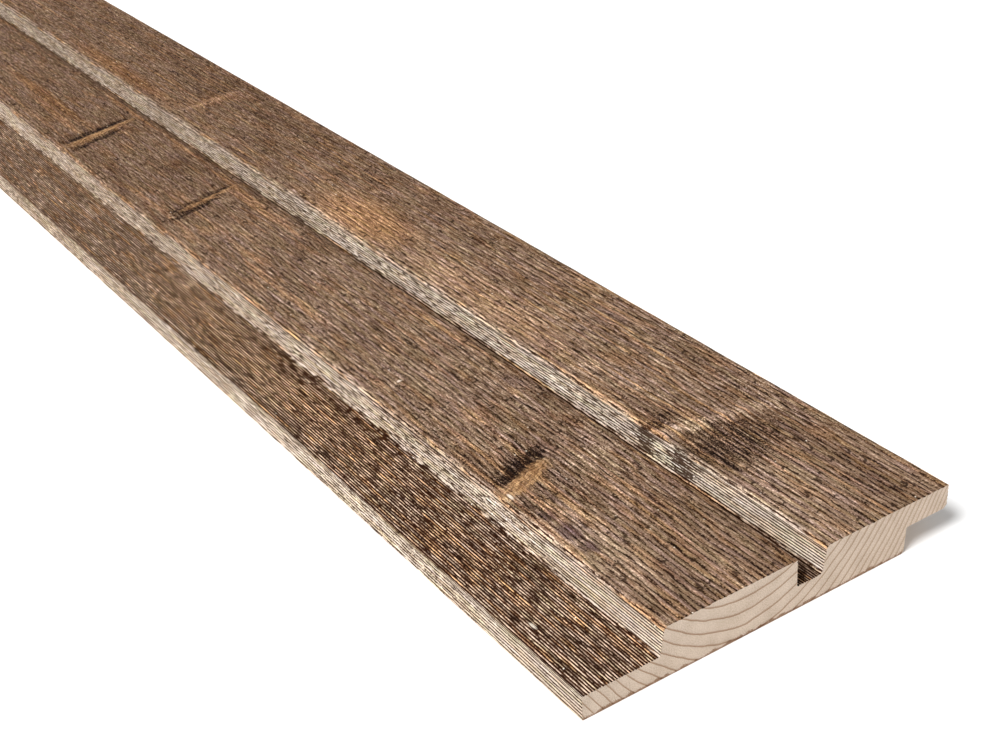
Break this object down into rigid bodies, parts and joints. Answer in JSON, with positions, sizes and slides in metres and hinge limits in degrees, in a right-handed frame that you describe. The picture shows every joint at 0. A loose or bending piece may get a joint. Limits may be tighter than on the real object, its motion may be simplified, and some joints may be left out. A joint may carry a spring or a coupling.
{
  "type": "spruce cladding board",
  "caption": "Long flat spruce cladding board with a fine-sawn, brown-stained face, a lapped lip on one edge, a rebated nose on the other and a false-joint groove between.",
  "frame": {"origin": "middle of the back face, at the bottom of the board", "axes": "+X across the board from the lip to the nose, +Y along its length, +Z out of the sawn face"},
  "size_m": [0.148, 1.8, 0.019],
  "materials": {
    "stained_spruce": "fine-sawn face with a thin grey-brown stain, bare pale wood at the cut ends and on the back"
  },
  "bodies": {
    "root": {"spruce_board": "stained_spruce"}
  },
  "joints": []
}
